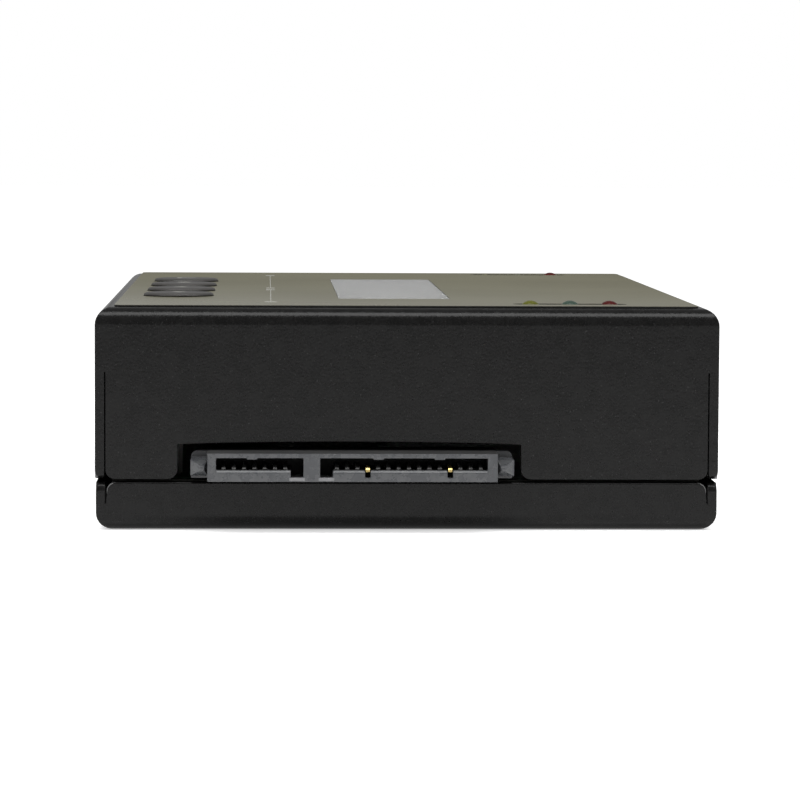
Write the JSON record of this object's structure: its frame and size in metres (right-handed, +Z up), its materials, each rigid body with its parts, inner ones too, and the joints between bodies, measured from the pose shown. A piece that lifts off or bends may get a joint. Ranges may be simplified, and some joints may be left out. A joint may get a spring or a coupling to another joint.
{
  "type": "hard drive docking station",
  "caption": "Flat folded-metal docking station with a keyed drive receptacle at each end, a display window, push buttons and lamps on top.",
  "frame": {"origin": "middle of the flat underside of the bottom tray", "axes": "+X to the right as seen from the near receptacle, +Y from the near receptacle to the far one, +Z up"},
  "size_m": [0.0804, 0.1234, 0.0284],
  "materials": {
    "painted_case": "fine textured matte black powder coat on folded steel",
    "printed_film": "smooth printed film with a satin gloss",
    "clear_window": "clear polished pane over a pale display",
    "black_metal": "black coated pressed steel",
    "display_cell": "polarised display glass",
    "white_plastic": "moulded",
    "circuit_board": "green solder mask on glass laminate",
    "black_plastic": "moulded, fine grain",
    "button_plastic": "moulded, satin",
    "lamp_yellow": "tinted clear lens, yellow-green",
    "lamp_teal": "tinted clear lens, blue-green",
    "lamp_red": "tinted clear lens, red",
    "grey_plastic": "moulded glass-filled plastic, satin",
    "gold_contact": "gold plated spring strip",
    "bright_metal": "nickel plated",
    "screw_steel": "black zinc plated"
  },
  "bodies": {
    "case": {"top_cover": "painted_case", "bottom_tray": "painted_case", "face_label": "printed_film", "display_window": "clear_window", "display_bezel": "black_metal", "display_glass": "display_cell", "display_backlight": "white_plastic", "display_board": "circuit_board", "display_header": "black_plastic", "display_spacer": "black_plastic", "tact_switch_1": "black_plastic", "tact_switch_2": "black_plastic", "tact_switch_3": "black_plastic", "tact_switch_4": "black_plastic", "lamp_near_1": "lamp_yellow", "lamp_near_2": "lamp_teal", "lamp_near_3": "lamp_red", "lamp_far_1": "lamp_yellow", "lamp_far_2": "lamp_teal", "lamp_far_3": "lamp_red", "lamp_holder_near": "white_plastic", "lamp_holder_far": "white_plastic", "control_board": "circuit_board", "main_board": "circuit_board", "board_header": "black_plastic", "processor_chip": "black_plastic", "memory_chip": "black_plastic", "power_inductor": "black_plastic", "supply_capacitor": "bright_metal", "near_receptacle": "grey_plastic", "far_receptacle": "grey_plastic", "near_gold_contact_1": "gold_contact", "near_gold_contact_2": "gold_contact", "far_gold_contact_1": "gold_contact", "far_gold_contact_2": "gold_contact", "dc_jack": "black_plastic", "dc_jack_pin": "bright_metal", "switch_frame": "black_plastic", "switch_lead": "black_plastic", "cover_standoff_1": "bright_metal", "cover_standoff_2": "bright_metal", "cover_standoff_3": "bright_metal", "cover_standoff_4": "bright_metal", "board_spacer_1": "bright_metal", "board_spacer_2": "bright_metal", "board_spacer_3": "bright_metal", "board_spacer_4": "bright_metal", "case_screw_1": "screw_steel", "case_screw_2": "screw_steel", "case_screw_3": "screw_steel", "case_screw_4": "screw_steel"},
    "button_1": {"button_cap_1": "button_plastic", "button_stem_1": "black_plastic"},
    "button_2": {"button_cap_2": "button_plastic", "button_stem_2": "black_plastic"},
    "button_3": {"button_cap_3": "button_plastic", "button_stem_3": "black_plastic"},
    "button_4": {"button_cap_4": "button_plastic", "button_stem_4": "black_plastic"},
    "rocker": {"switch_rocker": "black_plastic"}
  },
  "joints": [
    {"name": "button_1_press", "type": "slide", "parent": "case", "child": "button_1", "axis": [0, 0, -1], "range_m": [0, 0.0003], "stiffness_N_per_m": 4000},
    {"name": "button_2_press", "type": "slide", "parent": "case", "child": "button_2", "axis": [0, 0, -1], "range_m": [0, 0.0003], "stiffness_N_per_m": 4000},
    {"name": "button_3_press", "type": "slide", "parent": "case", "child": "button_3", "axis": [0, 0, -1], "range_m": [0, 0.0003], "stiffness_N_per_m": 4000},
    {"name": "button_4_press", "type": "slide", "parent": "case", "child": "button_4", "axis": [0, 0, -1], "range_m": [0, 0.0003], "stiffness_N_per_m": 4000},
    {"name": "rocker_tilt", "type": "hinge", "parent": "case", "child": "rocker", "pos_m": [0.0367, -0.01, 0.01597], "axis": [0, 0, -1], "range_deg": [0, 20]}
  ]
}
